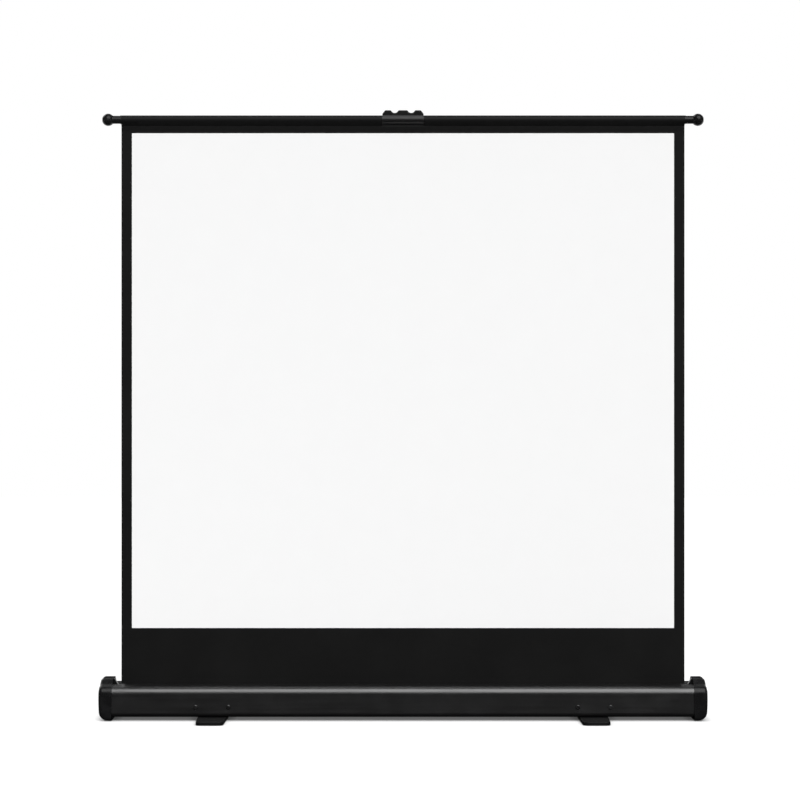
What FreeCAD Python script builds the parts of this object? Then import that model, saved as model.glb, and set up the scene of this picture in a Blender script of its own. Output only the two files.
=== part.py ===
import FreeCAD
import Part
import math
import os

from FreeCAD import Vector

os.makedirs("parts", exist_ok=True)

# Tabletop pull-up projection screen, raised, all sizes in mm.
# X runs along the screen, Y points away from the viewer, Z is up, Z = 0 is the table.

# Cloth
cloth_width = 1040.0
cloth_thickness = 0.45
spare_turns_build = 1.3
cloth_gap = 0.15
bar_height = 1104.9

# Feet
foot_inset = 183.4
foot_length = 194.0
foot_width = 54.7
foot_toe_width = 49.7
foot_corner = 9.0
foot_edge = 0.6
foot_thickness = 5.5
pad_proud = 0.8
pad_seat = 1.2
pad_length = 38.0
pad_width = 12.0
pad_inset = 11.0
washer_thickness = 0.6
washer_radius = 12.0
bolt_head_radius = 8.0
bolt_head_height = 1.7
bolt_shoulder_radius = 5.0
bolt_thread_radius = 3.0
bolt_reach = 6.0

# Housing extrusion
shell_margin = 13.0
shell_height = 56.9
shell_wall = 2.0
shell_front_round = 14.0
shell_low_round = 8.0
shell_rear_round = 2.5
roll_front_room = 6.95
cloth_to_partition = 6.575
slot_width = 9.0
port_radius = 3.4
port_overlap = 0.4
port_drop = 5.5
screw_core = 1.6

# Foot anchors inside the housing
anchor_sheet = 1.6
anchor_length = 80.0
anchor_height = 30.0
anchor_screw_pitch = 60.0
anchor_screw_height = 25.9
button_radius = 4.4
button_height = 2.2
button_shank = 2.0

# End caps
cap_thickness = 24.5
cap_overhang = 3.0
cap_bottom = 0.8
cap_shoulder_rise = 1.5
cap_front_round = 15.0
cap_round = 11.0
cap_rim_round = 7.0
cap_base_round = 16.0
cap_bulge = 2.0
lobe_setback = 28.0
lobe_rise = 11.7
lobe_blend = 6.0
lobe_ramp = 8.5
ramp_crest = 1.5
ramp_round = 2.0
spigot_length = 8.0
spigot_play = 0.25
cap_screw_head = 3.6
cap_screw_sink = 9.0
cap_screw_reach = 16.0
cap_screw_head_height = 2.4

# Top bar
tube_radius = 8.0
tube_wall = 1.2
neck_radius = 7.4
knob_radius = 11.3
knob_reach = 24.6
knob_flat = 1.0
knob_blend = 3.0
knob_flange = 2.0
knob_spigot = 20.0
hem_tail = 12.0
hem_side_gap = 0.3
closing_gap = 1.5
cradle_play = 0.8

# Roller
roller_radius = 15.0
roller_wall = 1.2
plug_length = 22.0
roller_end_play = 3.0
pin_radius = 3.0
bush_radius = 5.0
shaft_length = 180.0
collar_length = 10.0
spring_wire = 1.6
spring_radius = 9.0
spring_length = 120.0
spring_seat = 0.3

# Pantograph
raised_angle = 76.5
folded_angle = 1.3
pivot_spacing = 48.0
arm_width = 18.0
arm_thickness = 2.5
arm_edge = 0.5
layer_gap = 0.5
gear_teeth = 24
gear_addendum = 1.8
gear_dedendum = 2.5
gear_backlash = 0.4
pressure_angle = 20.0
gear_floor_gap = 2.6
pin_head_radius = 4.6
pin_head_height = 1.1
rivet_radius = 1.2
rivet_offset = 6.6
knee_head_radius = 6.0
knee_head_height = 1.0
bracket_sheet = 2.0
bracket_width = 76.0
bracket_corner = 5.0
bracket_side_gap = 0.4
bracket_rear_gap = 1.2
bracket_screw_pitch = 56.0
bracket_screw_row = 7.0
bracket_screw_radius = 2.0
bracket_screw_head = 2.9
bracket_screw_head_height = 1.4
strap_width = 8.0
strap_lift = 0.3

# Pull grip on the top bar
saddle_sheet = 2.2
grip_peak = 17.2
grip_valley = 12.2
grip_half_depth = 6.5
grip_top_length = 66.0
grip_base_length = 76.0
grip_round = 3.0
scallop_radius = 7.0
scallop_pitch = 30.6
grip_screw_pitch = 55.0
grip_screw_head = 3.4
grip_screw_head_height = 3.0
grip_screw_shank = 2.0
insert_length = 72.0

# Fits
running_fit = 0.06
fixed_fit = 0.03
open_pivot_fit = 0.3
soft_gap = 0.3

# Depth of the housing: the roll and cloth in front, the stack of arms behind
wrap_radius = roller_radius + spare_turns_build
roll_to_cloth = wrap_radius + cloth_gap + cloth_thickness / 2
chamber_depth = roll_front_room + wrap_radius + roll_to_cloth + cloth_to_partition
layer_pitch = arm_thickness + layer_gap
bracket_depth = 2 * bracket_sheet + layer_gap + 5 * layer_pitch
port_reach = port_radius - port_overlap
channel_depth = bracket_side_gap + bracket_depth + bracket_rear_gap + port_reach + port_radius
shell_depth = chamber_depth + channel_depth + 3 * shell_wall

# Faces of the housing
shell_bottom = pad_proud + foot_thickness + washer_thickness
shell_top = shell_bottom + shell_height
floor_top = shell_bottom + shell_wall
deck_under = shell_top - shell_wall
shell_front = -shell_depth / 2
shell_rear = shell_depth / 2
tube_end = cloth_width / 2
shell_end = tube_end + shell_margin
chamber_front = shell_front + shell_wall
partition_y = chamber_front + chamber_depth
channel_front = partition_y + shell_wall
channel_rear = shell_rear - shell_wall

# Roller and cloth plane
roller_y = chamber_front + roll_front_room + wrap_radius
roller_z = (floor_top + deck_under) / 2
cloth_y = roller_y + roll_to_cloth
hem_inner = tube_radius + 0.1
hem_outer = hem_inner + cloth_thickness
cloth_top = bar_height - hem_outer - soft_gap

# Lift of the top bar
bar_closed = shell_top + closing_gap + hem_outer
bar_travel = bar_height - bar_closed
sin_raised = math.sin(math.radians(raised_angle))
cos_raised = math.cos(math.radians(raised_angle))
sin_folded = math.sin(math.radians(folded_angle))
arm_length = bar_travel / (2 * (sin_raised - sin_folded))
pivot_half = pivot_spacing / 2
gear_tip = pivot_half + gear_addendum
gear_root = pivot_half - gear_dedendum
base_pivot_z = floor_top + bracket_sheet + gear_floor_gap + gear_tip
knee_x = arm_length * cos_raised - pivot_half
knee_z = base_pivot_z + arm_length * sin_raised
top_pivot_z = base_pivot_z + 2 * arm_length * sin_raised

# Layers of the pantograph from front to back
cheek_front = channel_front + bracket_side_gap
lower_right_y = cheek_front + bracket_sheet + layer_gap
upper_right_y = lower_right_y + layer_pitch
gear_y = upper_right_y + layer_pitch
upper_left_y = gear_y + layer_pitch
lower_left_y = upper_left_y + layer_pitch
cheek_rear = lower_left_y + layer_pitch

# Ends of the roller, the caps and the top bar, and the line of the feet
spigot_face = shell_end - spigot_length
roller_end = spigot_face - roller_end_play
cap_outer = shell_end + cap_thickness
knob_centre_x = tube_end + knob_reach
lobe_front_y = shell_front - cap_overhang + lobe_setback
lobe_rear_y = 2 * cloth_y - lobe_front_y
foot_x = shell_end - foot_inset


def box(x0, x1, y0, y1, z0, z1):
    return Part.makeBox(x1 - x0, y1 - y0, z1 - z0, Vector(x0, y0, z0))


def rod_x(x0, x1, y, z, r):
    return Part.makeCylinder(r, x1 - x0, Vector(x0, y, z), Vector(1, 0, 0))


def rod_y(x, y0, y1, z, r):
    return Part.makeCylinder(r, y1 - y0, Vector(x, y0, z), Vector(0, 1, 0))


def rod_z(x, y, z0, z1, r):
    return Part.makeCylinder(r, z1 - z0, Vector(x, y, z0), Vector(0, 0, 1))


def tube_x(x0, x1, y, z, outer, inner):
    return rod_x(x0, x1, y, z, outer).cut(rod_x(x0, x1, y, z, inner))


def ring_y(x, y0, y1, z, outer, inner):
    return rod_y(x, y0, y1, z, outer).cut(rod_y(x, y0, y1, z, inner))


def plate_xz(points, y0, y1):
    ring = [Vector(x, y0, z) for x, z in points]
    face = Part.Face(Part.makePolygon(ring + ring[:1]))
    return face.extrude(Vector(0, y1 - y0, 0))


def round_edges(shape, radius, test):
    return shape.makeFillet(radius, [e for e in shape.Edges if test(e)])


def along_x(edge, y, z):
    a, b = edge.Vertexes[0].Point, edge.Vertexes[-1].Point
    near = abs(a.y - y) < 0.01 and abs(a.z - z) < 0.01
    return near and abs(b.y - y) < 0.01 and abs(b.z - z) < 0.01


def along_y(edge, x, z):
    a, b = edge.Vertexes[0].Point, edge.Vertexes[-1].Point
    near = abs(a.x - x) < 0.01 and abs(a.z - z) < 0.01
    return near and abs(b.x - x) < 0.01 and abs(b.z - z) < 0.01


def flat_in_y(edge):
    ys = [v.Point.y for v in edge.Vertexes]
    return max(ys) - min(ys) < 0.01


def mirrored(shape):
    return shape.mirror(Vector(0, 0, 0), Vector(1, 0, 0))


def save(name, *solids):
    shape = solids[0] if len(solids) == 1 else Part.makeCompound(list(solids))
    shape.exportStep("parts/" + name + ".step")


# Screw ports of the extrusion as (y, z)
corner_y = chamber_front + shell_front_round - shell_wall
corner_z = deck_under - shell_front_round + shell_wall
corner_step = (shell_front_round - shell_wall - port_reach) / math.sqrt(2)
ports = [
    (corner_y - corner_step, corner_z + corner_step),
    (channel_rear - port_reach, floor_top + port_reach),
    (channel_rear - port_reach, shell_top - port_drop),
]


def housing_blank():
    body = box(-shell_end, shell_end, shell_front, shell_rear, shell_bottom, shell_top)
    body = round_edges(body, shell_front_round, lambda e: along_x(e, shell_front, shell_top))
    body = round_edges(body, shell_low_round, lambda e: along_x(e, shell_front, shell_bottom))
    body = round_edges(body, shell_low_round, lambda e: along_x(e, shell_rear, shell_bottom))
    return round_edges(body, shell_rear_round, lambda e: along_x(e, shell_rear, shell_top))


def roller_chamber(x0, x1, play):
    front, rear = chamber_front + play, partition_y - play
    low, high = floor_top + play, deck_under - play
    room = box(x0, x1, front, rear, low, high)
    room = round_edges(room, shell_front_round - shell_wall, lambda e: along_x(e, front, high))
    return round_edges(room, shell_low_round - shell_wall, lambda e: along_x(e, front, low))


def housing_shell():
    body = housing_blank().cut(roller_chamber(-shell_end, shell_end, 0))
    channel = box(-shell_end, shell_end, channel_front, channel_rear, floor_top, shell_top)
    low_rear = shell_low_round - shell_wall
    channel = round_edges(channel, low_rear, lambda e: along_x(e, channel_rear, floor_top))
    body = body.cut(channel)
    half = slot_width / 2
    body = body.cut(box(-shell_end, shell_end, cloth_y - half, cloth_y + half, roller_z, shell_top))
    for y, z in ports:
        body = body.fuse(rod_x(-shell_end, shell_end, y, z, port_radius))
    for y, z in ports:
        body = body.cut(rod_x(-shell_end, shell_end, y, z, screw_core))
    for side in (-1, 1):
        thread = bolt_thread_radius + running_fit
        body = body.cut(rod_z(side * foot_x, 0, shell_bottom - 1, floor_top + 1, thread))
        for x in anchor_screw_x(side):
            hole = button_shank + running_fit
            body = body.cut(rod_y(x, shell_front, chamber_front, anchor_screw_height, hole))
    for x, y in bracket_screw_places():
        hole = bracket_screw_radius + fixed_fit
        body = body.cut(rod_z(x, y, shell_bottom - 1, floor_top + 1, hole))
    return body.removeSplitter()


def anchor_screw_x(side):
    half = anchor_screw_pitch / 2
    return [side * foot_x - half, side * foot_x + half]


def foot_anchor(side):
    x0 = side * foot_x - anchor_length / 2
    x1 = side * foot_x + anchor_length / 2
    front, low = chamber_front + 0.05, floor_top + 0.02
    rear = bolt_thread_radius + 3
    outer = box(x0, x1, front, rear, low, low + anchor_height)
    bend = shell_low_round - shell_wall + 0.5
    outer = round_edges(outer, bend, lambda e: along_x(e, front, low))
    inner_y, inner_z = front + anchor_sheet, low + anchor_sheet
    inner = box(x0, x1, inner_y, rear, inner_z, low + anchor_height)
    inner = round_edges(inner, bend - anchor_sheet, lambda e: along_x(e, inner_y, inner_z))
    plate = outer.cut(inner)
    thread = bolt_thread_radius + fixed_fit
    plate = plate.cut(rod_z(side * foot_x, 0, low - 1, low + bolt_reach, thread))
    for x in anchor_screw_x(side):
        hole = button_shank + fixed_fit
        plate = plate.cut(rod_y(x, front - 1, inner_y + 1, anchor_screw_height, hole))
    return plate


def button_screw(x):
    tip = chamber_front + 0.05 + anchor_sheet + 0.6
    head_flat = shell_front - button_height
    head = rod_y(x, head_flat, shell_front, anchor_screw_height, button_radius)
    dome = button_height * 0.8
    head = head.makeFillet(dome, [e for e in head.Edges if abs(e.CenterOfMass.y - head_flat) < 0.01])
    socket = rod_y(x, head_flat, head_flat + 1.2, anchor_screw_height, 1.3)
    return head.cut(socket).fuse(rod_y(x, shell_front, tip, anchor_screw_height, button_shank))


def foot(side):
    x, half, wide, toe = side * foot_x, foot_length / 2, foot_width / 2, foot_toe_width / 2
    outline = [(-toe, -half), (toe, -half), (wide, 0), (toe, half), (-toe, half), (-wide, 0)]
    ring = [Vector(x + a, b, pad_proud) for a, b in outline]
    body = Part.Face(Part.makePolygon(ring + ring[:1])).extrude(Vector(0, 0, foot_thickness))
    corners = [e for e in body.Edges if e.Length < foot_thickness + 0.01 and abs(e.CenterOfMass.y) > 1]
    body = body.makeFillet(foot_corner, corners)
    top = pad_proud + foot_thickness
    body = body.makeFillet(foot_edge, [e for e in body.Edges if abs(e.BoundBox.ZMin - top) < 0.01])
    seat = pad_proud + bolt_head_height + 0.7
    body = body.cut(rod_z(x, 0, pad_proud, seat, bolt_head_radius + 0.4))
    body = body.cut(rod_z(x, 0, seat, top, bolt_shoulder_radius + running_fit))
    for pad in foot_pads(side, fixed_fit):
        body = body.cut(pad)
    return body


def foot_pads(side, play):
    x, y = side * foot_x, foot_length / 2 - pad_inset
    length, width = pad_length / 2 + play, pad_width / 2 + play
    high = pad_proud + pad_seat
    return [box(x - length, x + length, s * y - width, s * y + width, 0, high) for s in (-1, 1)]


def foot_bolt(side):
    x = side * foot_x
    head_top = pad_proud + bolt_head_height + 0.65
    bolt = rod_z(x, 0, head_top - bolt_head_height, head_top, bolt_head_radius)
    bolt = bolt.fuse(rod_z(x, 0, head_top, shell_bottom, bolt_shoulder_radius))
    return bolt.fuse(rod_z(x, 0, shell_bottom, floor_top + bolt_reach, bolt_thread_radius))


def foot_washer(side):
    low = pad_proud + foot_thickness + 0.05
    inner = bolt_shoulder_radius + fixed_fit
    disc = rod_z(side * foot_x, 0, low, shell_bottom, washer_radius)
    return disc.cut(rod_z(side * foot_x, 0, low, shell_bottom, inner))


def cap_profile():
    front, rear = shell_front - cap_overhang, shell_rear + cap_overhang
    shoulder, top = shell_top + cap_shoulder_rise, shell_top + lobe_rise
    run = top - shoulder
    outline = [(front, cap_bottom), (front, shoulder), (lobe_front_y - run, shoulder), (lobe_front_y, top)]
    outline += [(lobe_rear_y, top), (lobe_rear_y + run, shoulder), (rear, shoulder), (rear, cap_bottom)]
    rounds = [cap_front_round, lobe_blend, cap_round, cap_round, lobe_blend, cap_round]
    ring = [Vector(shell_end, y, z) for y, z in outline]
    body = Part.Face(Part.makePolygon(ring + ring[:1])).extrude(Vector(cap_thickness, 0, 0))
    for (y, z), radius in zip(outline[1:-1], rounds):
        body = round_edges(body, radius, lambda e: along_x(e, y, z))
    return body


def cap_domed():
    rise = (shell_top + lobe_rise - cap_bottom) / 2
    radius = (rise ** 2 + cap_bulge ** 2) / (2 * cap_bulge)
    origin = Vector(cap_outer - radius, -shell_depth, cap_bottom + rise)
    drum = Part.makeCylinder(radius, 2 * shell_depth, origin, Vector(0, 1, 0))
    body = cap_profile().common(drum).Solids[0]
    body = round_edges(body, cap_base_round, lambda e: along_y(e, cap_outer - cap_bulge, cap_bottom))
    dome = max(body.Faces, key=lambda f: f.CenterOfMass.x)
    base = min(dome.Edges, key=lambda e: e.CenterOfMass.z)
    return body.makeFillet(cap_rim_round, [e for e in dome.Edges if not e.isSame(base)])


def cap_ramp():
    lobe_top = shell_top + lobe_rise
    foot_point = shell_end - lobe_ramp
    crest = shell_end - ramp_crest
    points = [(foot_point, shell_top), (crest, lobe_top), (shell_end, lobe_top), (shell_end, shell_top)]
    ramp = plate_xz(points, lobe_front_y + lobe_blend / 2, channel_front - 1)
    ramp = round_edges(ramp, ramp_round, lambda e: along_y(e, crest, lobe_top))
    low = cloth_y - slot_width / 2 - 1
    return ramp.cut(box(foot_point - 1, shell_end, low, channel_front, shell_top, lobe_top))


def cradle():
    cup = knob_radius + cradle_play
    centre = Vector(knob_centre_x, cloth_y, bar_closed)
    room = Part.makeSphere(cup, centre)
    room = room.fuse(rod_z(knob_centre_x, cloth_y, bar_closed, bar_closed + 30, cup))
    neck = neck_radius + cradle_play
    start = shell_end - lobe_ramp - 1
    room = room.fuse(rod_x(start, knob_centre_x, cloth_y, bar_closed, neck))
    return room.fuse(box(start, knob_centre_x, cloth_y - neck, cloth_y + neck, bar_closed, bar_closed + 30))


def end_cap():
    body = cap_domed()
    plug = roller_chamber(spigot_face, shell_end, spigot_play)
    y, z = ports[0]
    plug = plug.cut(rod_x(spigot_face, shell_end, y, z, port_radius + spigot_play))
    body = body.fuse(plug).fuse(cap_ramp()).cut(cradle())
    sink = cap_outer - cap_screw_sink
    for y, z in ports:
        body = body.cut(rod_x(shell_end - 1, cap_outer, y, z, screw_core + 0.4))
        body = body.cut(rod_x(sink, cap_outer, y, z, cap_screw_head + 0.4))
    return body


def end_cap_right():
    half = shaft_square() / 2 + fixed_fit
    socket = box(spigot_face, shell_end + 4, roller_y - half, roller_y + half, roller_z - half, roller_z + half)
    return end_cap().cut(socket)


def end_cap_left():
    return mirrored(end_cap().cut(rod_x(spigot_face, shell_end + 2, roller_y, roller_z, bush_radius)))


def cap_screw(y, z):
    seat = cap_outer - cap_screw_sink
    head = rod_x(seat, seat + cap_screw_head_height, y, z, cap_screw_head)
    top = seat + cap_screw_head_height
    slot = box(top - 1, top, y - 2.4, y + 2.4, z - 0.5, z + 0.5)
    slot = slot.fuse(box(top - 1, top, y - 0.5, y + 0.5, z - 2.4, z + 2.4))
    shank = rod_x(shell_end - cap_screw_reach, seat, y, z, screw_core - fixed_fit)
    return head.cut(slot).fuse(shank)


def shaft_square():
    return pin_radius * 1.4


def spring_shaft():
    inner = spigot_face - shaft_length
    rod = rod_x(inner, spigot_face, roller_y, roller_z, pin_radius)
    half = shaft_square() / 2
    tang = box(spigot_face, shell_end + 3, roller_y - half, roller_y + half, roller_z - half, roller_z + half)
    return rod.fuse(tang)


def bore_radius():
    return roller_radius - roller_wall


def spring_collar():
    inner = spigot_face - shaft_length
    outer = bore_radius() - soft_gap
    return tube_x(inner + 3, inner + 3 + collar_length, roller_y, roller_z, outer, pin_radius + fixed_fit)


def spring_start():
    return spigot_face - shaft_length + 3 + collar_length + spring_seat


def roller_spring():
    start, half = spring_start(), spring_wire / 2
    outer, inner = spring_radius + half, spring_radius - half
    return tube_x(start, start + spring_length, roller_y, roller_z, outer, inner)


def spring_plug():
    inner = spring_start() + spring_length + spring_seat
    plug = rod_x(inner, roller_end, roller_y, roller_z, bore_radius() - fixed_fit)
    return plug.cut(rod_x(inner, roller_end, roller_y, roller_z, pin_radius + running_fit))


def idler_plug():
    plug = rod_x(-roller_end, plug_length - roller_end, roller_y, roller_z, bore_radius() - fixed_fit)
    return plug.fuse(rod_x(-shell_end, -roller_end, roller_y, roller_z, pin_radius))


def idler_bush():
    inner = pin_radius + running_fit
    return tube_x(-shell_end - 2, -spigot_face, roller_y, roller_z, bush_radius, inner)


def screen_cloth():
    half = cloth_thickness / 2
    return box(-tube_end, tube_end, cloth_y - half, cloth_y + half, roller_z, cloth_top)


def hem_half():
    x0 = bracket_width / 2 + hem_side_gap
    loop = tube_x(x0, tube_end, cloth_y, bar_height, hem_outer, hem_inner)
    inner = cloth_thickness / 2 + soft_gap
    low = bar_height - hem_outer - hem_tail
    for side in (-1, 1):
        edges = sorted([cloth_y + side * inner, cloth_y + side * (inner + cloth_thickness)])
        flap = box(x0, tube_end, edges[0], edges[1], low, bar_height - hem_inner + 0.2)
        loop = loop.fuse(flap.cut(rod_x(x0, tube_end, cloth_y, bar_height, hem_inner)))
    return loop


def end_knob():
    start, neck_end = tube_end - knob_spigot, tube_end + knob_flange
    spigot = tube_radius - tube_wall - fixed_fit
    face = knob_centre_x + knob_radius - knob_flat
    rim = math.sqrt(knob_radius ** 2 - (knob_radius - knob_flat) ** 2)
    high, span = neck_radius + knob_blend, knob_radius + knob_blend
    run = math.sqrt(span ** 2 - high ** 2)
    lean = math.atan2(run, high) / 2
    stem = knob_centre_x - run
    middle = (stem + knob_blend * math.sin(lean), high - knob_blend * math.cos(lean))
    meet = (knob_centre_x - run * knob_radius / span, high * knob_radius / span)
    steps = [(start, 0), (start, spigot), (tube_end, spigot), (tube_end, tube_radius)]
    steps += [(neck_end, tube_radius), (neck_end, neck_radius), (stem, neck_radius)]
    lines = list(zip(steps, steps[1:])) + [((face, rim), (face, 0)), ((face, 0), (start, 0))]
    edges = [Part.makeLine(above_bar(*a), above_bar(*b)) for a, b in lines]
    arcs = [((stem, neck_radius), middle, meet), (meet, (knob_centre_x, knob_radius), (face, rim))]
    edges += [Part.Arc(*[above_bar(*point) for point in arc]).toShape() for arc in arcs]
    outline = Part.Face(Part.Wire(Part.__sortEdges__(edges)))
    return outline.revolve(above_bar(0, 0), Vector(1, 0, 0), 360)


def above_bar(x, radius):
    return Vector(x, cloth_y, bar_height + radius)


def bar_tube():
    tube = tube_x(-tube_end, tube_end, cloth_y, bar_height, tube_radius, tube_radius - tube_wall)
    for x in (-grip_screw_pitch / 2, grip_screw_pitch / 2):
        tube = tube.cut(rod_z(x, cloth_y, bar_height, bar_height + 20, grip_screw_shank + running_fit))
    return tube


def bar_insert():
    half = insert_length / 2
    block = rod_x(-half, half, cloth_y, bar_height, tube_radius - tube_wall - fixed_fit)
    for x in (-grip_screw_pitch / 2, grip_screw_pitch / 2):
        block = block.cut(rod_z(x, cloth_y, bar_height - 4, bar_height + 20, grip_screw_shank + fixed_fit))
    return block


def cheek(y, low, high):
    plate = box(-bracket_width / 2, bracket_width / 2, y, y + bracket_sheet, low, high)
    short = [e for e in plate.Edges if e.Length < bracket_sheet + 0.01]
    corners = [e for e in short if abs(e.CenterOfMass.z - low) < 0.01]
    return plate.makeFillet(bracket_corner, corners)


def top_bracket():
    half = bracket_width / 2
    outer, inner = tube_radius + saddle_sheet, tube_radius + fixed_fit
    saddle = tube_x(-half, half, cloth_y, bar_height, outer, inner)
    saddle = saddle.cut(box(-half, half, cloth_y - 20, cloth_y + 20, bar_height - 20, bar_height))
    low = top_pivot_z - arm_width / 2 + 0.6
    strap_low = max(bar_height + strap_lift, top_pivot_z + arm_width / 2 + strap_lift)
    strap_high = strap_low + bracket_sheet
    body = saddle.fuse(cheek(cheek_front, low, bar_height + strap_lift))
    body = body.fuse(cheek(cheek_rear, low, strap_high))
    for side in (-1, 1):
        x0, x1 = sorted([side * half, side * (half - strap_width)])
        body = body.fuse(box(x0, x1, cheek_front, cheek_rear, strap_low, strap_high))
    body = body.cut(rod_x(-half, half, cloth_y, bar_height, inner))
    fit = pin_radius + fixed_fit
    body = body.cut(rod_y(-pivot_half, cheek_front, cheek_front + bracket_sheet, top_pivot_z, fit))
    body = body.cut(rod_y(pivot_half, cheek_rear, cheek_rear + bracket_sheet, top_pivot_z, fit))
    for x in (-grip_screw_pitch / 2, grip_screw_pitch / 2):
        body = body.cut(rod_z(x, cloth_y, bar_height, bar_height + 20, grip_screw_shank + running_fit))
    return body.removeSplitter()


def pull_grip():
    saddle_top = tube_radius + saddle_sheet
    low = math.sqrt(saddle_top ** 2 - grip_half_depth ** 2)
    base, top = grip_base_length / 2, grip_top_length / 2
    points = [(-base, low), (base, low), (base, saddle_top + 0.6), (top, grip_peak)]
    points += [(-top, grip_peak), (-base, saddle_top + 0.6)]
    points = [(x, bar_height + z) for x, z in points]
    body = plate_xz(points, cloth_y - grip_half_depth, cloth_y + grip_half_depth)
    for x in (-scallop_pitch / 2, scallop_pitch / 2):
        z = bar_height + grip_valley + scallop_radius
        body = body.cut(rod_y(x, cloth_y - 20, cloth_y + 20, z, scallop_radius))
    upper = bar_height + saddle_top + 0.9
    body = round_edges(body, grip_round, lambda e: e.CenterOfMass.z > upper)
    body = body.cut(rod_x(-base, base, cloth_y, bar_height, saddle_top + fixed_fit))
    for x in (-grip_screw_pitch / 2, grip_screw_pitch / 2):
        body = body.cut(rod_z(x, cloth_y, bar_height, bar_height + 30, grip_screw_shank + running_fit))
        sink = bar_height + grip_peak - grip_screw_head_height - 0.8
        body = body.cut(rod_z(x, cloth_y, sink, bar_height + 30, grip_screw_head + 0.3))
    return body


def grip_screw(x):
    seat = bar_height + grip_peak - grip_screw_head_height - 0.8
    head = rod_z(x, cloth_y, seat, seat + grip_screw_head_height, grip_screw_head)
    head = head.cut(rod_z(x, cloth_y, seat + 1.4, seat + grip_screw_head_height, 1.6))
    return head.fuse(rod_z(x, cloth_y, bar_height - 3, seat, grip_screw_shank))


def bracket_screw_places():
    half = bracket_screw_pitch / 2
    centre = gear_y + arm_thickness / 2
    front = centre - bracket_screw_row / 2
    rear = centre + bracket_screw_row / 2
    return [(-half, front), (half, front), (-half, rear), (half, rear)]


def base_bracket():
    half = bracket_width / 2
    high = base_pivot_z + arm_width / 2
    low = floor_top + 0.02
    plate = box(-half, half, cheek_front, cheek_rear + bracket_sheet, low, low + bracket_sheet)
    for y in (cheek_front, cheek_rear):
        wall = box(-half, half, y, y + bracket_sheet, low, high)
        top = [e for e in wall.Edges if e.Length < bracket_sheet + 0.01 and e.CenterOfMass.z > high - 0.01]
        plate = plate.fuse(wall.makeFillet(bracket_corner, top))
    fit = pin_radius + fixed_fit
    plate = plate.cut(rod_y(-pivot_half, cheek_front, cheek_front + bracket_sheet, base_pivot_z, fit))
    plate = plate.cut(rod_y(pivot_half, cheek_rear, cheek_rear + bracket_sheet, base_pivot_z, fit))
    for x, y in bracket_screw_places():
        plate = plate.cut(rod_z(x, y, low - 1, low + bracket_sheet + 1, bracket_screw_radius + fixed_fit))
    return plate.removeSplitter()


def base_bracket_screw(x, y):
    seat = floor_top + 0.02 + bracket_sheet
    head = rod_z(x, y, seat, seat + bracket_screw_head_height, bracket_screw_head)
    return head.fuse(rod_z(x, y, shell_bottom, seat, bracket_screw_radius))


def arm(x, z, angle, y, near_bore, far_bore):
    half = arm_width / 2
    bar = box(0, arm_length, 0, arm_thickness, -half, half)
    bar = bar.fuse(rod_y(0, 0, arm_thickness, 0, half)).fuse(rod_y(arm_length, 0, arm_thickness, 0, half))
    bar = round_edges(bar.removeSplitter(), arm_edge, flat_in_y)
    bar = bar.cut(rod_y(0, 0, arm_thickness, 0, near_bore))
    bar = bar.cut(rod_y(arm_length, 0, arm_thickness, 0, far_bore))
    bar.rotate(Vector(0, 0, 0), Vector(0, 1, 0), -angle)
    bar.translate(Vector(x, y, z))
    return bar


def rivet_places(x, z, angle):
    a = math.radians(angle)
    dx, dz = rivet_offset * math.cos(a), rivet_offset * math.sin(a)
    return [(x + dx, z + dz), (x - dx, z - dz)]


def rivets(x, z, angle, y0, y1, radius):
    return [rod_y(rx, y0, y1, rz, radius) for rx, rz in rivet_places(x, z, angle)]


def drilled(shape, x, z, angle):
    for rivet in rivets(x, z, angle, channel_front, channel_rear, rivet_radius + fixed_fit):
        shape = shape.cut(rivet)
    return shape


def involute(angle):
    return math.tan(angle) - angle


def tooth_half_angle(radius):
    base = pivot_half * math.cos(math.radians(pressure_angle))
    width = math.pi * pivot_half / gear_teeth - gear_backlash / 2
    swing = involute(math.acos(min(1.0, base / max(radius, base))))
    return width / (2 * pivot_half) + involute(math.radians(pressure_angle)) - swing


def gear_point(radius, angle):
    return Vector(radius * math.cos(angle), 0, radius * math.sin(angle))


def tooth_flank(centre, side):
    base = pivot_half * math.cos(math.radians(pressure_angle))
    radii = [base + (gear_tip - base) * k / 5 for k in range(6)]
    points = [gear_point(r, centre + side * tooth_half_angle(r)) for r in radii]
    curve = Part.BSplineCurve()
    curve.interpolate(points)
    return curve.toShape(), points


def gear_tooth(centre):
    left, left_points = tooth_flank(centre, 1)
    right, right_points = tooth_flank(centre, -1)
    tip = Part.Arc(right_points[-1], gear_point(gear_tip, centre), left_points[-1]).toShape()
    inner = gear_root - 1
    low_left = gear_point(inner, centre + tooth_half_angle(gear_root))
    low_right = gear_point(inner, centre - tooth_half_angle(gear_root))
    sides = [Part.makeLine(left_points[0], low_left), Part.makeLine(low_left, low_right)]
    sides += [Part.makeLine(low_right, right_points[0])]
    wire = Part.Wire(Part.__sortEdges__([left, tip, right] + sides))
    return Part.Face(wire).extrude(Vector(0, arm_thickness, 0))


def gear_sector(x, z, first, teeth, hub_y0, hub_y1, sink_y):
    step = 360.0 / gear_teeth
    start, sweep = first - step / 2, step * teeth
    sector = Part.makeCylinder(gear_root, arm_thickness, Vector(0, 0, 0), Vector(0, 1, 0), sweep)
    sector.rotate(Vector(0, 0, 0), Vector(0, 1, 0), sector_turn(sector, start, sweep))
    for k in range(teeth):
        sector = sector.fuse(gear_tooth(math.radians(first + k * step)))
    sector = sector.fuse(rod_y(0, 0, arm_thickness, 0, arm_width / 2)).removeSplitter()
    sector.translate(Vector(x, gear_y, z))
    hub = rod_y(x, hub_y0, hub_y1, z, arm_width / 2)
    body = sector.fuse(hub).cut(rod_y(x, channel_front, channel_rear, z, pin_radius + running_fit))
    return body.cut(rod_y(x, sink_y, sink_y + pin_head_height + 0.2, z, pin_head_radius + 0.3))


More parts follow.
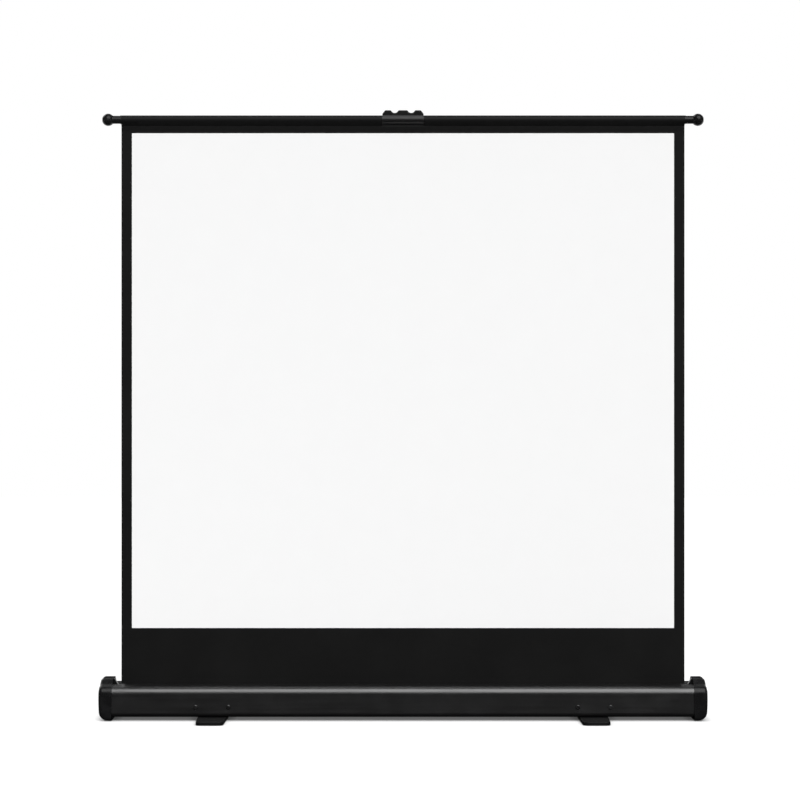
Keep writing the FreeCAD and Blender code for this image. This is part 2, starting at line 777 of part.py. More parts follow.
def sector_turn(sector, start, sweep):
    centre = sector.CenterOfMass
    now = math.degrees(math.atan2(centre.z, centre.x))
    return now - (start + sweep / 2)


def pivot_pin(x, z, y_fixed, y_head, toward_rear):
    if toward_rear:
        shaft = rod_y(x, y_fixed, y_head, z, pin_radius)
        return shaft.fuse(rod_y(x, y_head, y_head + pin_head_height, z, pin_head_radius))
    shaft = rod_y(x, y_head, y_fixed, z, pin_radius)
    return shaft.fuse(rod_y(x, y_head - pin_head_height, y_head, z, pin_head_radius))


def knee_pin(x, z, y0, collar_y, lower_is_front):
    y1 = y0 + arm_thickness + layer_pitch
    front_play, rear_play = (0.0, 0.05) if lower_is_front else (0.05, 0.0)
    pin = rod_y(x, y0 - front_play, y1 + rear_play, z, pin_radius)
    front = y0 - front_play
    rear = y1 + rear_play
    pin = pin.fuse(rod_y(x, front - knee_head_height, front, z, knee_head_radius))
    pin = pin.fuse(rod_y(x, rear, rear + knee_head_height, z, knee_head_radius))
    return pin.fuse(rod_y(x, collar_y + 0.05, collar_y + layer_gap - 0.05, z, knee_head_radius))


def build_housing():
    save("housing_shell", housing_shell())
    save("end_cap_left", end_cap_left())
    save("end_cap_right", end_cap_right())
    screws = [cap_screw(y, z) for y, z in ports]
    save("end_cap_screws", *(screws + [mirrored(s) for s in screws]))
    save("foot_anchors", foot_anchor(-1), foot_anchor(1))
    save("foot_anchor_screws", *[button_screw(x) for s in (-1, 1) for x in anchor_screw_x(s)])
    save("base_bracket", base_bracket())
    save("base_bracket_screws", *[base_bracket_screw(x, y) for x, y in bracket_screw_places()])


def build_feet():
    save("foot_left", foot(-1))
    save("foot_right", foot(1))
    save("foot_left_pads", *foot_pads(-1, 0))
    save("foot_right_pads", *foot_pads(1, 0))
    save("foot_pivot_bolts", foot_bolt(-1), foot_bolt(1))
    save("foot_washers", foot_washer(-1), foot_washer(1))


def build_roller():
    inner = bore_radius()
    save("roller_tube", tube_x(-roller_end, roller_end, roller_y, roller_z, roller_radius, inner))
    save("roller_idler_plug", idler_plug())
    save("roller_spring_plug", spring_plug())
    save("idler_bush", idler_bush())
    save("spring_shaft", spring_shaft())
    save("spring_collar", spring_collar())
    save("roller_spring", roller_spring())
    wraps = tube_x(-tube_end, tube_end, roller_y, roller_z, wrap_radius, roller_radius + fixed_fit)
    save("cloth_wraps", wraps)
    save("screen_cloth", screen_cloth())


def build_top_bar():
    save("bar_tube", bar_tube())
    save("bar_insert", bar_insert())
    save("bar_hem", mirrored(hem_half()), hem_half())
    save("end_knob_left", mirrored(end_knob()))
    save("end_knob_right", end_knob())
    save("top_bracket", top_bracket())
    save("pull_grip", pull_grip())
    half = grip_screw_pitch / 2
    save("grip_screws", grip_screw(-half), grip_screw(half))
    right_head = gear_y + arm_thickness - pin_head_height - 0.15
    left_head = gear_y + pin_head_height + 0.15
    right = pivot_pin(-pivot_half, top_pivot_z, cheek_front, right_head, True)
    left = pivot_pin(pivot_half, top_pivot_z, cheek_rear + bracket_sheet, left_head, False)
    save("top_pivot_pins", left, right)
    inner, outer = pin_radius + fixed_fit, pin_radius + 3
    front_y = cheek_front + bracket_sheet
    rear_y = upper_left_y + arm_thickness + 0.05
    front_spacer = ring_y(-pivot_half, front_y, upper_right_y - 0.05, top_pivot_z, outer, inner)
    rear_spacer = ring_y(pivot_half, rear_y, cheek_rear, top_pivot_z, outer, inner)
    save("top_pivot_spacers", front_spacer, rear_spacer)


def build_arms():
    near = pin_radius + running_fit
    up, down = raised_angle, -raised_angle
    left_up, left_down = 180 - raised_angle, 180 + raised_angle
    a, z0, z1 = pivot_half, base_pivot_z, top_pivot_z
    lower = arm(-a, z0, up, lower_right_y, near, pin_radius + fixed_fit)
    save("lower_arm_right", drilled(lower, -a, z0, up))
    lower = arm(a, z0, left_up, lower_left_y, near, pin_radius + fixed_fit)
    save("lower_arm_left", drilled(lower, a, z0, left_up))
    upper = arm(-a, z1, down, upper_right_y, near, near)
    save("upper_arm_right", drilled(upper, -a, z1, down))
    upper = arm(a, z1, left_down, upper_left_y, pin_radius + open_pivot_fit, near)
    save("upper_arm_left", drilled(upper, a, z1, left_down))
    knee_collar = lower_right_y + arm_thickness
    save("knee_pin_right", knee_pin(knee_x, knee_z, lower_right_y, knee_collar, True))
    knee_collar = upper_left_y + arm_thickness
    save("knee_pin_left", knee_pin(-knee_x, knee_z, upper_left_y, knee_collar, False))


def build_gears():
    step = 360.0 / gear_teeth
    teeth = math.ceil((raised_angle - folded_angle) / step) + 2
    span = step * (teeth - 1)
    a, z0, z1 = pivot_half, base_pivot_z, top_pivot_z
    gear_rear = gear_y + arm_thickness
    deep = pin_head_height + 0.2
    up, down = raised_angle, -raised_angle
    left_up, left_down = 180 - raised_angle, 180 + raised_angle
    hub = lower_right_y + arm_thickness
    gear = gear_sector(-a, z0, -step, teeth, hub, gear_y, gear_rear - deep)
    save("base_gear_right", drilled(gear, -a, z0, up))
    gear = gear_sector(a, z0, 180 + 1.5 * step - span, teeth, gear_rear, lower_left_y, gear_y)
    save("base_gear_left", drilled(gear, a, z0, left_up))
    hub = upper_right_y + arm_thickness
    gear = gear_sector(-a, z1, step - span, teeth, hub, gear_y, gear_rear - deep)
    save("top_gear_right", drilled(gear, -a, z1, down))
    gear = gear_sector(a, z1, 180 - 1.5 * step, teeth, gear_rear, upper_left_y, gear_y)
    save("top_gear_left", drilled(gear, a, z1, left_down))
    save("base_rivets_right", *rivets(-a, z0, up, lower_right_y, gear_rear, rivet_radius))
    save("base_rivets_left", *rivets(a, z0, left_up, gear_y, lower_left_y + arm_thickness, rivet_radius))
    save("top_rivets_right", *rivets(-a, z1, down, upper_right_y, gear_rear, rivet_radius))
    save("top_rivets_left", *rivets(a, z1, left_down, gear_y, upper_left_y + arm_thickness, rivet_radius))
    right_head = gear_rear - pin_head_height - 0.15
    left_head = gear_y + pin_head_height + 0.15
    right = pivot_pin(-a, z0, cheek_front, right_head, True)
    left = pivot_pin(a, z0, cheek_rear + bracket_sheet, left_head, False)
    save("base_pivot_pins", left, right)


build_housing()
build_feet()
build_roller()
build_top_bar()
build_arms()
build_gears()
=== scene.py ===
import math

import bmesh
import bpy
from mathutils import Matrix, Vector


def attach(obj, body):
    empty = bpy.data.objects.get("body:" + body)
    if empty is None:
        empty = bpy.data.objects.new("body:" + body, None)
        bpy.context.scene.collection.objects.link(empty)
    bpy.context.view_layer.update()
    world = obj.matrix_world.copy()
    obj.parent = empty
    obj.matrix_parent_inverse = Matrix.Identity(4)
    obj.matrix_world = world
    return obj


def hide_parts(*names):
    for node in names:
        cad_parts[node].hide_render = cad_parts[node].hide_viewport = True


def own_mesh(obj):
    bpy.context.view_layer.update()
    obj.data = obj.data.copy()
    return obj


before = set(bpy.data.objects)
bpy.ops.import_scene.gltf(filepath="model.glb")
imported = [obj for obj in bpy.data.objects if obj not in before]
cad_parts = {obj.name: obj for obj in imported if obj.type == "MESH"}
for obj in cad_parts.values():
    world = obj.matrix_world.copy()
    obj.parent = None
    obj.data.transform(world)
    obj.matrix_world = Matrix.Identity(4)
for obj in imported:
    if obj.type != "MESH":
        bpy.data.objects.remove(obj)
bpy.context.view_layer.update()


# Housing: one black anodised aluminium extrusion, the roller chamber in front and an open
# channel for the folding arms behind. The die leaves fine lines along its whole length, dust
# settles on its flat deck, and the deck is rubbed dull at both ends, beside the caps.
def effect(name, inputs, outputs):
    group = bpy.data.node_groups.new(name, "ShaderNodeTree")
    for label, kind in inputs:
        group.interface.new_socket(label, in_out="INPUT", socket_type=kind)
    for label in outputs:
        group.interface.new_socket(label, in_out="OUTPUT", socket_type="NodeSocketFloat")
    return group, group.nodes.new("NodeGroupInput"), group.nodes.new("NodeGroupOutput")


def calc(tree, operation, first, second=0.0):
    node = tree.nodes.new("ShaderNodeMath")
    node.operation = operation
    for value, socket in zip((first, second), node.inputs):
        if isinstance(value, (int, float)):
            socket.default_value = value
        else:
            tree.links.new(value, socket)
    return node.outputs["Value"]


def noise(tree, vector, pitch, detail):
    texture = tree.nodes.new("ShaderNodeTexNoise")
    texture.inputs["Detail"].default_value = detail
    tree.links.new(vector, texture.inputs["Vector"])
    if isinstance(pitch, float):
        texture.inputs["Scale"].default_value = 1.0 / pitch
    else:
        tree.links.new(calc(tree, "DIVIDE", 1.0, pitch), texture.inputs["Scale"])
    return texture.outputs["Fac"]


def ranged(tree, value, low, high, bottom=0.0, top=1.0):
    node = tree.nodes.new("ShaderNodeMapRange")
    node.inputs["From Min"].default_value = low
    node.inputs["From Max"].default_value = high
    node.inputs["To Min"].default_value = bottom
    node.inputs["To Max"].default_value = top
    tree.links.new(value, node.inputs["Value"])
    return node.outputs["Result"]


def spread(tree, mask, bottom, top):
    return ranged(tree, mask, 0.0, 1.0, bottom, top)


def parts_of(tree, vector):
    node = tree.nodes.new("ShaderNodeSeparateXYZ")
    tree.links.new(vector, node.inputs["Vector"])
    return node.outputs


along_surface = [("Vector", "NodeSocketVector")]
at_pitch = along_surface + [("Pitch", "NodeSocketFloat")]

drawn_lines, entry, leave = effect("drawn lines", at_pitch, ["Lines"])
lengthwise = (0.008, 1.0, 1.0)
stretch = drawn_lines.nodes.new("ShaderNodeVectorMath")
stretch.operation = "MULTIPLY"
stretch.inputs[1].default_value = lengthwise
drawn_lines.links.new(entry.outputs["Vector"], stretch.inputs[0])
streak = noise(drawn_lines, stretch.outputs["Vector"], entry.outputs["Pitch"], detail=3.0)
drawn_lines.links.new(ranged(drawn_lines, streak, low=0.3, high=0.7), leave.inputs["Lines"])

handling, entry, leave = effect("handling marks", at_pitch, ["Marks"])
patch = noise(handling, entry.outputs["Vector"], entry.outputs["Pitch"], detail=4.0)
handling.links.new(ranged(handling, patch, low=0.42, high=0.68), leave.inputs["Marks"])

settled_dust, entry, leave = effect("settled dust", along_surface, ["Dust", "Film"])
dust_grey = (0.12, 0.117, 0.11)
tilted, level_enough = 0.75, 0.97
surface = settled_dust.nodes.new("ShaderNodeNewGeometry")
facing = parts_of(settled_dust, surface.outputs["Normal"])
upward = ranged(settled_dust, facing["Z"], tilted, level_enough)
scatter = noise(settled_dust, entry.outputs["Vector"], pitch=0.0016, detail=4.0)
specks = ranged(settled_dust, scatter, low=0.45, high=0.8)
film = spread(settled_dust, specks, bottom=0.85, top=1.0)
settled_dust.links.new(calc(settled_dust, "MULTIPLY", upward, specks), leave.inputs["Dust"])
settled_dust.links.new(calc(settled_dust, "MULTIPLY", upward, film), leave.inputs["Film"])


def new_finish(name, metallic=0.0, specular=0.5):
    material = bpy.data.materials.new(name)
    material.use_nodes = True
    shader = material.node_tree.nodes["Principled BSDF"]
    shader.inputs["Metallic"].default_value = metallic
    shader.inputs["Specular IOR Level"].default_value = specular
    coords = material.node_tree.nodes.new("ShaderNodeTexCoord")
    return material, material.node_tree, shader, coords.outputs["Object"]


def put(tree, group, vector, pitch):
    node = tree.nodes.new("ShaderNodeGroup")
    node.node_tree = group
    tree.links.new(vector, node.inputs["Vector"])
    node.inputs["Pitch"].default_value = pitch
    return node.outputs[0]


def between(tree, mask, first, second):
    mix = tree.nodes.new("ShaderNodeMix")
    mix.data_type = "RGBA"
    tree.links.new(mask, mix.inputs[0])
    for colour, socket in ((first, mix.inputs[6]), (second, mix.inputs[7])):
        if isinstance(colour, tuple):
            socket.default_value = (*colour, 1.0)
        else:
            tree.links.new(colour, socket)
    return mix.outputs[2]


def coloured(tree, shader, mask, first, second):
    tree.links.new(between(tree, mask, first, second), shader.inputs["Base Color"])


def roughened(tree, shader, mask, smooth, rough):
    tree.links.new(spread(tree, mask, smooth, rough), shader.inputs["Roughness"])


def relief(tree, shader, height, depth):
    bump = tree.nodes.new("ShaderNodeBump")
    bump.inputs["Distance"].default_value = depth
    tree.links.new(height, bump.inputs["Height"])
    tree.links.new(bump.outputs["Normal"], shader.inputs["Normal"])


def dusted(tree, shader, coords, clean, rough, share, dull):
    dust = tree.nodes.new("ShaderNodeGroup")
    dust.node_tree = settled_dust
    tree.links.new(coords, dust.inputs["Vector"])
    cover = calc(tree, "MULTIPLY", dust.outputs["Dust"], share)
    coloured(tree, shader, cover, clean, dust_grey)
    dulled = calc(tree, "MULTIPLY", dust.outputs["Film"], dull)
    tree.links.new(calc(tree, "ADD", rough, dulled), shader.inputs["Roughness"])


def dress(material, *names):
    for name in names:
        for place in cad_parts[name].material_slots:
            place.material = material


def anodised_black(name, pitch):
    rub_start, rub_full, rub_dull = 0.5090, 0.5170, 0.70
    material, tree, shader, coords = new_finish(name, specular=1.0)
    lines = put(tree, drawn_lines, coords, pitch)
    marks = put(tree, handling, coords, pitch=0.05)
    metal = between(tree, lines, (0.0026, 0.0026, 0.0028), (0.0050, 0.0050, 0.0053))
    drawn = spread(tree, lines, bottom=0.28, top=0.35)
    handled = spread(tree, marks, bottom=0.0, top=0.05)
    rough = calc(tree, "ADD", drawn, handled)
    outward = calc(tree, "ABSOLUTE", parts_of(tree, coords)["X"])
    rubbed = ranged(tree, outward, rub_start, rub_full, 0.0, rub_dull)
    dusted(tree, shader, coords, metal, rough, share=0.12, dull=rubbed)
    relief(tree, shader, lines, depth=0.000012)
    return material


dress(anodised_black("black anodised extrusion", pitch=0.0011), "housing_shell")


# End caps: two black injection moulded caps pushed into the ends of the extrusion, each held
# by three screws. The mould was spark eroded to a fine even grain, and the lobe on top has the
# cradle that takes an end knob of the lowered bar.
moulded_grain, entry, leave = effect("moulded grain", at_pitch, ["Grain"])
pits = moulded_grain.nodes.new("ShaderNodeTexVoronoi")
pits.feature = "SMOOTH_F1"
moulded_grain.links.new(entry.outputs["Vector"], pits.inputs["Vector"])
fineness = calc(moulded_grain, "DIVIDE", 1.0, entry.outputs["Pitch"])
moulded_grain.links.new(fineness, pits.inputs["Scale"])
moulded_grain.links.new(pits.outputs["Distance"], leave.inputs["Grain"])


def moulded(name, dark, light, smooth, rough, pitch, depth, specular):
    material, tree, shader, coords = new_finish(name, specular=specular)
    grain = put(tree, moulded_grain, coords, pitch)
    marks = put(tree, handling, coords, pitch=0.018)
    shade = between(tree, marks, dark, light)
    worn = spread(tree, marks, smooth, rough)
    dusted(tree, shader, coords, shade, worn, share=0.10, dull=0.6)
    relief(tree, shader, grain, depth)
    return material


cap_black = moulded(
    "black moulded plastic", dark=(0.0058, 0.0058, 0.0061), light=(0.0090, 0.0090, 0.0095),
    smooth=0.26, rough=0.35, pitch=0.0007, depth=0.00003, specular=0.22,
)
dress(cap_black, "end_cap_left", "end_cap_right")


def plated(name, dark, light, pitch):
    material, tree, shader, coords = new_finish(name, metallic=1.0)
    lines = put(tree, drawn_lines, coords, pitch)
    marks = put(tree, handling, coords, pitch=0.006)
    coloured(tree, shader, marks, dark, light)
    roughened(tree, shader, lines, smooth=0.28, rough=0.42)
    relief(tree, shader, lines, depth=0.000006)
    return material


zinc = plated("zinc plated steel", dark=(0.50, 0.50, 0.49), light=(0.66, 0.66, 0.64), pitch=0.0006)
dress(zinc, "end_cap_screws")


# Feet: two tapered steel plates, powder coated black, that swivel on shoulder bolts under the
# housing. Rubber pads are let into their ends, and a bent plate inside the housing, held by two
# button screws through its front wall, takes each bolt.
def powder_coat(name, dark, light, smooth, rough, specular):
    material, tree, shader, coords = new_finish(name, specular=specular)
    peel = noise(tree, coords, pitch=0.0017, detail=2.0)
    marks = put(tree, handling, coords, pitch=0.03)
    shade = between(tree, peel, dark, light)
    worn = spread(tree, marks, smooth, rough)
    dusted(tree, shader, coords, shade, worn, share=0.10, dull=0.4)
    relief(tree, shader, peel, depth=0.00007)
    return material


coat_black = powder_coat(
    "black powder coat", dark=(0.004, 0.004, 0.0043), light=(0.008, 0.008, 0.0085),
    smooth=0.36, rough=0.48, specular=0.22,
)
dress(coat_black, "foot_left", "foot_right")
pad_rubber = moulded(
    "black rubber", dark=(0.010, 0.010, 0.010), light=(0.018, 0.018, 0.017),
    smooth=0.72, rough=0.86, pitch=0.0009, depth=0.00006, specular=0.3,
)
dress(pad_rubber, "foot_left_pads", "foot_right_pads")
dress(zinc, "foot_pivot_bolts", "foot_anchors")
washer_nylon = moulded(
    "grey friction washer", dark=(0.045, 0.045, 0.046), light=(0.07, 0.07, 0.07),
    smooth=0.5, rough=0.62, pitch=0.0008, depth=0.00002, specular=0.4,
)
dress(washer_nylon, "foot_washers")
screw_black = moulded(
    "black oxide screw", dark=(0.008, 0.008, 0.008), light=(0.016, 0.016, 0.017),
    smooth=0.24, rough=0.34, pitch=0.0005, depth=0.000008, specular=0.6,
)
dress(screw_black, "foot_anchor_screws")


# Roller: a drawn aluminium tube on two plastic plugs, with a torsion spring on a fixed steel
# shaft inside its right end. It winds the cloth up as the bar goes down.
bare_drawn = plated(
    "bare drawn aluminium", dark=(0.68, 0.68, 0.69), light=(0.80, 0.80, 0.81), pitch=0.0008
)
dress(bare_drawn, "roller_tube", "bar_insert")
natural_plastic = moulded(
    "natural moulded plastic", dark=(0.60, 0.59, 0.55), light=(0.70, 0.69, 0.65),
    smooth=0.45, rough=0.58, pitch=0.0009, depth=0.00003, specular=0.45,
)
dress(natural_plastic, "roller_idler_plug", "roller_spring_plug", "idler_bush", "spring_collar")
dress(zinc, "spring_shaft", "roller_spring")


# Cloth left on the roller: the last turns of the black lower drop stay wound on the tube when
# the screen is up. Three layers show at each end, not quite in line with one another.
roller_y, roller_z = -0.01475, 0.03535
thread_pitch = 0.0008
weave, entry, leave = effect("cloth weave", at_pitch, ["Threads"])
turns = weave.nodes.new("ShaderNodeVectorMath")
turns.operation = "SCALE"
weave.links.new(entry.outputs["Vector"], turns.inputs[0])
per_metre = calc(weave, "DIVIDE", 2.0 * math.pi, entry.outputs["Pitch"])
weave.links.new(per_metre, turns.inputs["Scale"])
threads = parts_of(weave, turns.outputs["Vector"])
warp = calc(weave, "SINE", threads["X"])
weft = calc(weave, "SINE", threads["Z"])
crossing = ranged(weave, calc(weave, "MULTIPLY", warp, weft), -1.0, 1.0)
weave.links.new(crossing, leave.inputs["Threads"])

cloth_black, tree, shader, coords = new_finish("black screen cloth", specular=0.16)
woven = put(tree, weave, coords, thread_pitch)
marks = put(tree, handling, coords, pitch=0.12)
coloured(tree, shader, marks, (0.0036, 0.0036, 0.0036), (0.0052, 0.0052, 0.0051))
roughened(tree, shader, woven, smooth=0.62, rough=0.74)
relief(tree, shader, woven, depth=0.00004)


def finished(name, shape, material, body, smooth=True):
    bmesh.ops.remove_doubles(shape, verts=shape.verts, dist=1e-6)
    bmesh.ops.recalc_face_normals(shape, faces=shape.faces)
    mesh = bpy.data.meshes.new(name)
    shape.to_mesh(mesh)
    shape.free()
    mesh.materials.append(material)
    if smooth:
        mesh.shade_smooth()
        mesh.set_sharp_from_angle(angle=math.radians(35))
    piece = bpy.data.objects.new(name, mesh)
    bpy.context.scene.collection.objects.link(piece)
    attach(piece, body)
    return piece


shape = bmesh.new()
layer_ends = [
    (0.01503, 0.5196), (0.01546, 0.5196), (0.01548, 0.5200),
    (0.01588, 0.5200), (0.01590, 0.5192), (0.01630, 0.5192),
]
ring = [shape.verts.new((x, roller_y, roller_z + r)) for r, x in layer_ends]
ring += [shape.verts.new((-x, roller_y, roller_z + r)) for r, x in reversed(layer_ends)]
for first, second in zip(ring, ring[1:] + ring[:1]):
    shape.edges.new((first, second))
bmesh.ops.spin(
    shape, geom=shape.verts[:] + shape.edges[:], cent=(0.0, roller_y, roller_z),
    axis=(1.0, 0.0, 0.0), angle=2.0 * math.pi, steps=96, use_merge=True,
)
wound_cloth = finished("wound_cloth", shape, cloth_black, "roller")
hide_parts("cloth_wraps")


# Screen cloth: one coated sheet, matt white in front, with a black border printed round the
# picture, a black lower drop and a black back. It is drawn flat between the roller and the bar.
sheet_half, sheet_low, sheet_high = 0.5200, 0.03535, 1.0968
white_half, white_low, white_high = 0.5007, 0.1661, 1.0801
sheet_y, sheet_thick = 0.001925, 0.00045
cloth_white, tree, shader, coords = new_finish("matt white screen coat", specular=0.15)
woven = put(tree, weave, coords, thread_pitch)
mottle = noise(tree, coords, pitch=0.05, detail=4.0)
coloured(tree, shader, mottle, (0.885, 0.885, 0.885), (0.900, 0.900, 0.900))
roughened(tree, shader, woven, smooth=0.82, rough=0.92)
relief(tree, shader, woven, depth=0.00002)

shape = bmesh.new()
centre = (0.0, sheet_y - sheet_thick / 2.0, (sheet_low + sheet_high) / 2.0)
upright = Matrix.Translation(centre) @ Matrix.Rotation(math.pi / 2.0, 4, "X")
size = Matrix.Diagonal((2.0 * sheet_half, sheet_high - sheet_low, 1.0, 1.0))
bmesh.ops.create_grid(shape, x_segments=1, y_segments=1, size=0.5, matrix=upright @ size)
sideways, upwards = (1.0, 0.0, 0.0), (0.0, 0.0, 1.0)
for place, across in (
    ((-white_half, 0.0, 0.0), sideways), ((white_half, 0.0, 0.0), sideways),
    ((0.0, 0.0, white_low), upwards), ((0.0, 0.0, white_high), upwards),
):
    whole = shape.verts[:] + shape.edges[:] + shape.faces[:]
    bmesh.ops.bisect_plane(shape, geom=whole, plane_co=place, plane_no=across)
grown = bmesh.ops.extrude_face_region(shape, geom=shape.faces[:])
back = [item for item in grown["geom"] if isinstance(item, bmesh.types.BMVert)]
bmesh.ops.translate(shape, vec=(0.0, sheet_thick, 0.0), verts=back)
for face in shape.faces:
    spot = face.calc_center_median()
    inside = abs(spot.x) < white_half and white_low < spot.z < white_high
    face.material_index = 1 if inside and spot.y < sheet_y - sheet_thick / 4.0 else 0
screen_sheet = finished("screen_sheet", shape, cloth_black, "housing", smooth=False)
screen_sheet.data.materials.append(cloth_white)
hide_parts("screen_cloth")
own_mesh(screen_sheet)


# Top bar: a black anodised tube. The cloth's black top edge is folded round it, notched for the
# bracket in the middle, and welded to itself in a ribbed band that runs on below the tube. The
# band
# is coloured darker than the hem above it: painted shade under the tube.
bar_z, hem_inner, hem_thick, hem_start = 1.1049, 0.0081, 0.00045, 0.0383
lap, pinch, tail = 0.00053, 0.0120, 0.0205
notch, slit = 0.0092, 0.00002
weld_and_shade_top, rib_pitch, rib_height = 0.0135, 0.0022, 3.0
dress(anodised_black("black anodised tube", pitch=0.0007), "bar_tube")
hem_black, tree, shader, coords = new_finish("black hem cloth", specular=0.14)
woven = put(tree, weave, coords, thread_pitch)
where = parts_of(tree, coords)
weld_and_shade_band = calc(tree, "LESS_THAN", where["Z"], bar_z - weld_and_shade_top)
slant = calc(tree, "ADD", where["X"], where["Z"])
ribs = calc(tree, "SINE", calc(tree, "MULTIPLY", slant, 2.0 * math.pi / rib_pitch))
pressed = calc(tree, "MULTIPLY", weld_and_shade_band, ranged(tree, ribs, -1.0, 1.0, 0.0, rib_height))
# the darker colour of the band below the tube is painted shade; its ribs and roughness are the
# weld
coloured(tree, shader, weld_and_shade_band, (0.0062, 0.0062, 0.0063), (0.0022, 0.0022, 0.0023))
roughened(tree, shader, weld_and_shade_band, smooth=0.52, rough=0.60)
relief(tree, shader, calc(tree, "ADD", woven, pressed), depth=0.00004)

shape = bmesh.new()
lean = math.acos(hem_inner / math.hypot(lap, pinch)) - math.atan2(lap, pinch)
touch_y, touch_z = sheet_y - hem_inner * math.sin(lean), bar_z - hem_inner * math.cos(lean)
bottom = shape.verts.new((hem_start, touch_y, touch_z))
bmesh.ops.spin(
    shape, geom=[bottom], cent=(0.0, sheet_y, bar_z), axis=(1.0, 0.0, 0.0),
    angle=2.0 * lean - 2.0 * math.pi, steps=40,
)
ends = sorted([v for v in shape.verts if len(v.link_edges) == 1], key=lambda v: v.co.y)
for end, side in zip(ends, (-1.0, 1.0)):
    for drop in (pinch, tail):
        grown = bmesh.ops.extrude_vert_indiv(shape, verts=[end])
        end = grown["verts"][0]
        end.co = Vector((hem_start, sheet_y + side * lap, bar_z - drop))
grown = bmesh.ops.extrude_edge_only(shape, edges=shape.edges[:])
far = [item for item in grown["geom"] if isinstance(item, bmesh.types.BMVert)]
bmesh.ops.translate(shape, vec=(sheet_half - hem_start, 0.0, 0.0), verts=far)
bmesh.ops.recalc_face_normals(shape, faces=shape.faces)
bmesh.ops.solidify(shape, geom=shape.faces[:], thickness=hem_thick)
whole = shape.verts[:] + shape.edges[:] + shape.faces[:]
bmesh.ops.mirror(shape, geom=whole, merge_dist=0.0, axis="X")
ply_size = Matrix.Diagonal((2.0 * (hem_start - slit), hem_thick, tail - notch, 1.0))
for side in (-1.0, 1.0):
    ply = (0.0, sheet_y + side * (lap + hem_thick / 2.0), bar_z - (notch + tail) / 2.0)
    bmesh.ops.create_cube(shape, size=1.0, matrix=Matrix.Translation(ply) @ ply_size)
top_hem = finished("top_hem", shape, hem_black, "top_bar")
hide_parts("bar_hem")


# End knobs: two knobs of the same black moulded plastic as the caps, each a neck and a ball in
# one piece, pushed into the ends of the tube.
dress(cap_black, "end_knob_left", "end_knob_right")


# Lifting arms: four flat aluminium bars, black anodised after they were blanked, that cross
# behind the cloth. Their rolled grain runs along each bar, so the two leans have a finish each.
def arm_black(name, lean):
    material, tree, shader, coords = new_finish(name, specular=0.3)
    turn = tree.nodes.new("ShaderNodeMapping")
    turn.inputs["Rotation"].default_value = (0.0, lean, 0.0)
    tree.links.new(coords, turn.inputs["Vector"])
    lines = put(tree, drawn_lines, turn.outputs["Vector"], pitch=0.0006)
    marks = put(tree, handling, coords, pitch=0.03)
    coloured(tree, shader, lines, (0.0055, 0.0055, 0.0058), (0.0105, 0.0105, 0.0110))
    roughened(tree, shader, marks, smooth=0.33, rough=0.44)
    relief(tree, shader, lines, depth=0.000015)
    return material


arm_lean = math.radians(76.5)
dress(arm_black("black arm leaning right", arm_lean), "lower_arm_right", "upper_arm_left")
dress(arm_black("black arm leaning left", -arm_lean), "lower_arm_left", "upper_arm_right")


# Gear sectors: moulded in black glass filled nylon, riveted to the arm ends and meshing in pairs
# at the bottom and the top, so that the two sides rise together. Pins, rivets and the folded
# base bracket are zinc plated steel.
gear_nylon = moulded(
    "black glass filled nylon", dark=(0.012, 0.012, 0.0125), light=(0.022, 0.022, 0.0225),
    smooth=0.46, rough=0.58, pitch=0.0006, depth=0.00003, specular=0.4,
)
dress(gear_nylon, "base_gear_right", "base_gear_left", "top_gear_right", "top_gear_left")
dress(zinc, "base_bracket", "base_bracket_screws", "base_pivot_pins")
dress(zinc, "knee_pin_right", "knee_pin_left", "top_pivot_pins", "top_pivot_spacers")
dress(zinc, "base_rivets_right", "base_rivets_left", "top_rivets_right", "top_rivets_left")


# Top bracket and pull grip: a pressed saddle, painted satin grey, sits over the middle of the
# tube and carries the upper arms. A black moulded grip with two finger scallops is screwed
# through it into the tube.
grey_paint = powder_coat(
    "satin grey paint", dark=(0.016, 0.016, 0.0165), light=(0.024, 0.024, 0.025),
    smooth=0.52, rough=0.62, specular=0.45,
)
dress(grey_paint, "top_bracket")
grip_black = moulded(
    "black moulded grip", dark=(0.0034, 0.0034, 0.0036), light=(0.0060, 0.0060, 0.0063),
    smooth=0.46, rough=0.58, pitch=0.0010, depth=0.00006, specular=0.14,
)
dress(grip_black, "pull_grip")
dress(screw_black, "grip_screws")


# Studio: a white floor that runs out of sight, a white surround behind the object and a dim room
# in front of it, one soft key from high in front and a weak light from behind. A black card on the
# floor, from just behind the object to far in front of it, shows in reflections alone.
def stage_sheet(name, material, half_x, near, far, height):
    shape = bmesh.new()
    middle = Matrix.Translation((0.0, (near + far) / 2.0, height))
    size = Matrix.Diagonal((2.0 * half_x, far - near, 1.0, 1.0))
    bmesh.ops.create_grid(shape, x_segments=1, y_segments=1, size=0.5, matrix=middle @ size)
    mesh = bpy.data.meshes.new(name)
    shape.to_mesh(mesh)
    shape.free()
    mesh.materials.append(material)
    piece = bpy.data.objects.new(name, mesh)
    bpy.context.scene.collection.objects.link(piece)
    return piece


def seen(tree):
    path = tree.nodes.new("ShaderNodeLightPath").outputs
    mirror = calc(tree, "MAXIMUM", path["Is Glossy Ray"], path["Is Transmission Ray"])
    return path["Is Camera Ray"], mirror


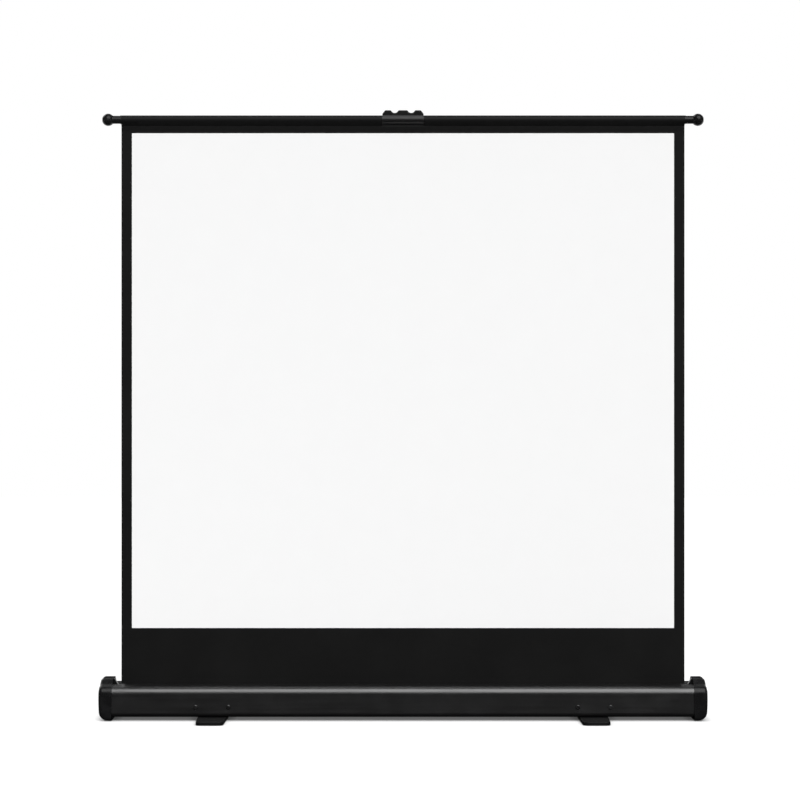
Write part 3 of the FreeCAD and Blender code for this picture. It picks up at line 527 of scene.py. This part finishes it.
floor_white_shadowed, tree, shader, coords = new_finish("white floor with painted contact shadow", specular=0.0)
contact_shadow_reach, floor_glow = 0.016, 0.62
shader.inputs["Base Color"].default_value = (0.5, 0.5, 0.5, 1.0)
shader.inputs["Roughness"].default_value = 1.0
shader.inputs["Emission Color"].default_value = (1.0, 1.0, 1.0, 1.0)
# the floor's glow is multiplied by ambient occlusion, so it dims under and beside the object: a
# painted contact shadow
contact_shadow_ao = tree.nodes.new("ShaderNodeAmbientOcclusion")
contact_shadow_ao.inputs["Distance"].default_value = contact_shadow_reach
shown = calc(tree, "MAXIMUM", *seen(tree))
glow_with_contact_shadow = calc(tree, "MULTIPLY", contact_shadow_ao.outputs["AO"], floor_glow)
tree.links.new(calc(tree, "MULTIPLY", shown, glow_with_contact_shadow), shader.inputs["Emission Strength"])
stage_sheet("floor", floor_white_shadowed, half_x=9.0, near=-9.0, far=9.0, height=0.0)

card_black, tree, shader, coords = new_finish("black card", specular=0.0)
shader.inputs["Base Color"].default_value = (0.02, 0.02, 0.02, 1.0)
card = stage_sheet("black_card", card_black, half_x=4.0, near=-6.0, far=0.6, height=0.0005)
card.visible_camera = False
card.visible_diffuse = False
card.visible_shadow = False
card.visible_transmission = False

world = bpy.data.worlds.new("white surround")
world.use_nodes = True
tree = world.node_tree
front_dim, back_bright, even_level = 0.06, 1.0, 0.35
backdrop = tree.nodes["Background"]
backdrop.inputs["Color"].default_value = (1.0, 1.0, 1.0, 1.0)
toward = parts_of(tree, tree.nodes.new("ShaderNodeTexCoord").outputs["Generated"])
room = ranged(tree, toward["Y"], low=0.25, high=0.85, bottom=front_dim, top=back_bright)
camera_ray, mirror_ray = seen(tree)
mirrored = calc(tree, "MULTIPLY", mirror_ray, room)
unseen = calc(tree, "SUBTRACT", 1.0, calc(tree, "MAXIMUM", camera_ray, mirror_ray))
even = calc(tree, "MULTIPLY", unseen, even_level)
level = calc(tree, "ADD", calc(tree, "ADD", camera_ray, mirrored), even)
tree.links.new(level, backdrop.inputs["Strength"])
bpy.context.scene.world = world

for name, strength, width, tilt, turn in (
    ("key", 2.75, 56.0, 47.0, 17.0),
    ("back", 0.9, 40.0, 50.0, 215.0),
):
    lamp = bpy.data.lights.new(name, "SUN")
    lamp.energy = strength
    lamp.angle = math.radians(width)
    light = bpy.data.objects.new(name, lamp)
    light.rotation_euler = (math.radians(tilt), 0.0, math.radians(turn))
    bpy.context.scene.collection.objects.link(light)

view = bpy.data.cameras.new("view")
view.sensor_width = 36.0
view.lens = 97.43
view.clip_end = 60.0
camera = bpy.data.objects.new("view", view)
camera.location = (-0.0055, -3.998, 0.5873)
camera.rotation_euler = (math.pi / 2.0, 0.0, 0.0)
bpy.context.scene.collection.objects.link(camera)
bpy.context.scene.camera = camera
bpy.context.scene.view_settings.view_transform = "Standard"
